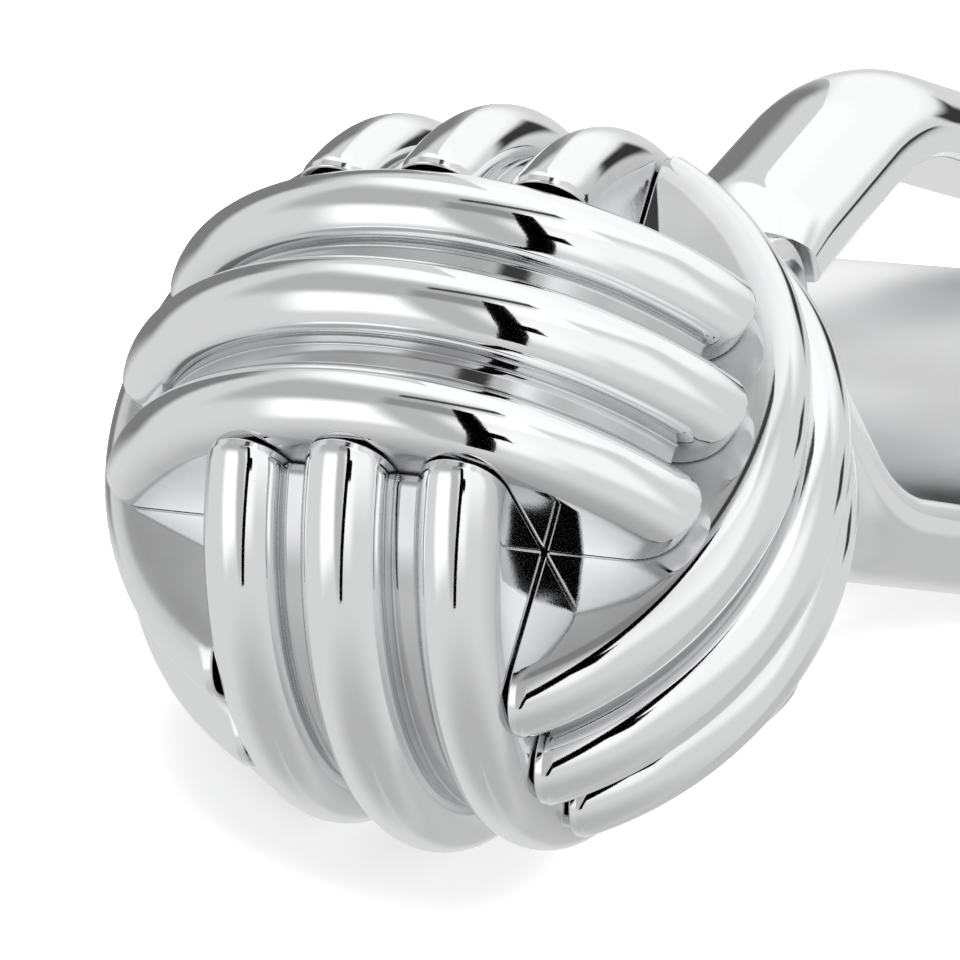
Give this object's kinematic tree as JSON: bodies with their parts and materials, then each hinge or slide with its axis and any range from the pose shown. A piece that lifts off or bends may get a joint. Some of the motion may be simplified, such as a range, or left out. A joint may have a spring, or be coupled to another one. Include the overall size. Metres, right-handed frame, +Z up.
{
  "type": "knot cufflink with toggle bar",
  "caption": "Polished silver knot cufflink: a ball of crossing ribbed bands, a hinged flat stirrup and a swivelling round toggle bar.",
  "frame": {"origin": "middle of the space that the piece takes up, on the surface it rests on", "axes": "+Z up, +X from the knot towards the toggle bar, +Y towards the end of the bar that touches the surface"},
  "size_m": [0.0304, 0.0156, 0.0125],
  "materials": {
    "polished_silver": "mirror polished",
    "pin_steel": "smooth"
  },
  "bodies": {
    "knot": {"knot_core": "polished_silver", "band_front": "polished_silver", "band_back": "polished_silver", "band_right": "polished_silver", "band_left": "polished_silver", "band_top": "polished_silver", "band_bottom": "polished_silver", "hinge_lug": "polished_silver", "hinge_pin": "pin_steel"},
    "stirrup": {"stirrup": "polished_silver", "toggle_pin": "pin_steel"},
    "bar": {"toggle": "polished_silver"}
  },
  "joints": [
    {"name": "stirrup_hinge", "type": "hinge", "parent": "knot", "child": "stirrup", "pos_m": [-0.00139, 0.00202, 0.00787], "axis": [-0.0458, -0.8823, 0.4685], "range_deg": [-15, 75]},
    {"name": "toggle_swivel", "type": "hinge", "parent": "stirrup", "child": "bar", "pos_m": [0.01009, -0.00053, 0.00419], "axis": [0.3066, 0.4339, 0.8472], "range_deg": [-30, 60]}
  ]
}
